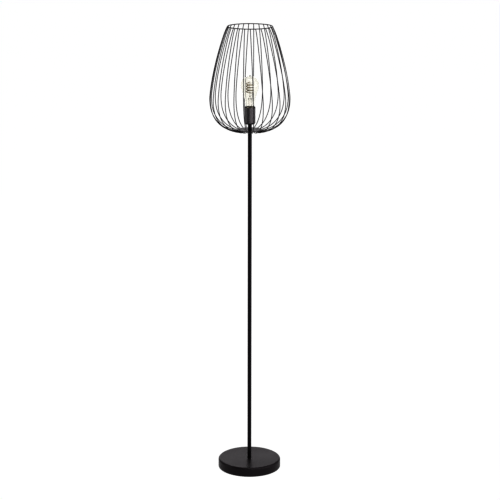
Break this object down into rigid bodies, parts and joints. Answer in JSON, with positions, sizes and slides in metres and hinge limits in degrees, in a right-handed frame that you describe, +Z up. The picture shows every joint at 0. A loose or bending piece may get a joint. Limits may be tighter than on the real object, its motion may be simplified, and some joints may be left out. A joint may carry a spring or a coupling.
{
  "type": "wire cage floor lamp",
  "caption": "Slim black floor lamp: round weighted base, straight pole, open egg-shaped wire cage round a clear spiral-filament bulb in an upright lampholder.",
  "frame": {"origin": "on the floor, on the axis of the pole, at the centre of the base pad's underside", "axes": "+Z up along the pole; -Y is the front that faces the viewer; +Y is the rear, where the cable inlet is; +X to the right seen from the front"},
  "size_m": [0.2789, 0.2779, 1.5991],
  "materials": {
    "black_powder": "satin black powder coat",
    "holder_black": "satin black paint, a little glossier than the pole",
    "concrete": "rough cast concrete",
    "foot_pad": "matt foam rubber",
    "inlet_rubber": "satin black rubber",
    "zinc_steel": "zinc plated",
    "contact_brass": "bare brass",
    "cap_nickel": "nickel plated brass",
    "lead_sheath": "matt black sheath",
    "lead_cores": "insulated cores",
    "white_plastic": "moulded white plastic",
    "porcelain": "white porcelain",
    "cap_insulator": "black glass insulator",
    "solder": "tinned",
    "bulb_clear": "clear glass with a slight amber tint",
    "filament": "yellow-brown coated strand",
    "fine_wire": "thin steel wire"
  },
  "bodies": {
    "root": {"base_cover": "black_powder", "pole_tube_1": "black_powder", "pole_tube_2": "black_powder", "pole_tube_3": "black_powder", "pole_tube_4": "black_powder", "cage_plate": "black_powder", "cage_ring": "black_powder", "cage_wires": "black_powder", "neck_sleeve": "black_powder", "holder_cup": "holder_black", "base_weight": "concrete", "base_pad": "foot_pad", "cable_inlet": "inlet_rubber", "base_stud": "zinc_steel", "base_washer": "zinc_steel", "base_lock_washer": "zinc_steel", "base_nut": "zinc_steel", "terminal_block_screws": "zinc_steel", "pole_joiner_1": "zinc_steel", "pole_joiner_2": "zinc_steel", "pole_joiner_3": "zinc_steel", "top_nipple": "zinc_steel", "holder_nut": "zinc_steel", "holder_terminal_screws": "zinc_steel", "earth_tag": "contact_brass", "screw_shell": "contact_brass", "centre_contact": "contact_brass", "holder_terminals": "contact_brass", "inner_lead": "lead_sheath", "lead_cores_low": "lead_cores", "lead_cores_top": "lead_cores", "terminal_block": "white_plastic", "lead_grip": "white_plastic", "holder_body": "porcelain"},
    "bulb_lift": {"bulb_insulator": "cap_insulator", "bulb_tip_contact": "solder"},
    "bulb_turn": {"bulb_cap": "cap_nickel", "bulb_glass": "bulb_clear", "bulb_stem": "bulb_clear", "bulb_filament": "filament", "bulb_supports": "fine_wire", "bulb_feeds": "fine_wire"}
  },
  "joints": [
    {"name": "bulb_rise", "type": "slide", "parent": "root", "child": "bulb_lift", "axis": [0, 0, 1], "range_m": [0, 0.0218]},
    {"name": "bulb_unscrew", "type": "hinge", "parent": "bulb_lift", "child": "bulb_turn", "pos_m": [0, 0, 1.3], "axis": [0, 0, 1], "range_deg": [0, 2160]}
  ],
  "couplings": [
    {"joint": "bulb_rise", "follows": "bulb_unscrew", "m_per_rad": 0.00057751}
  ]
}
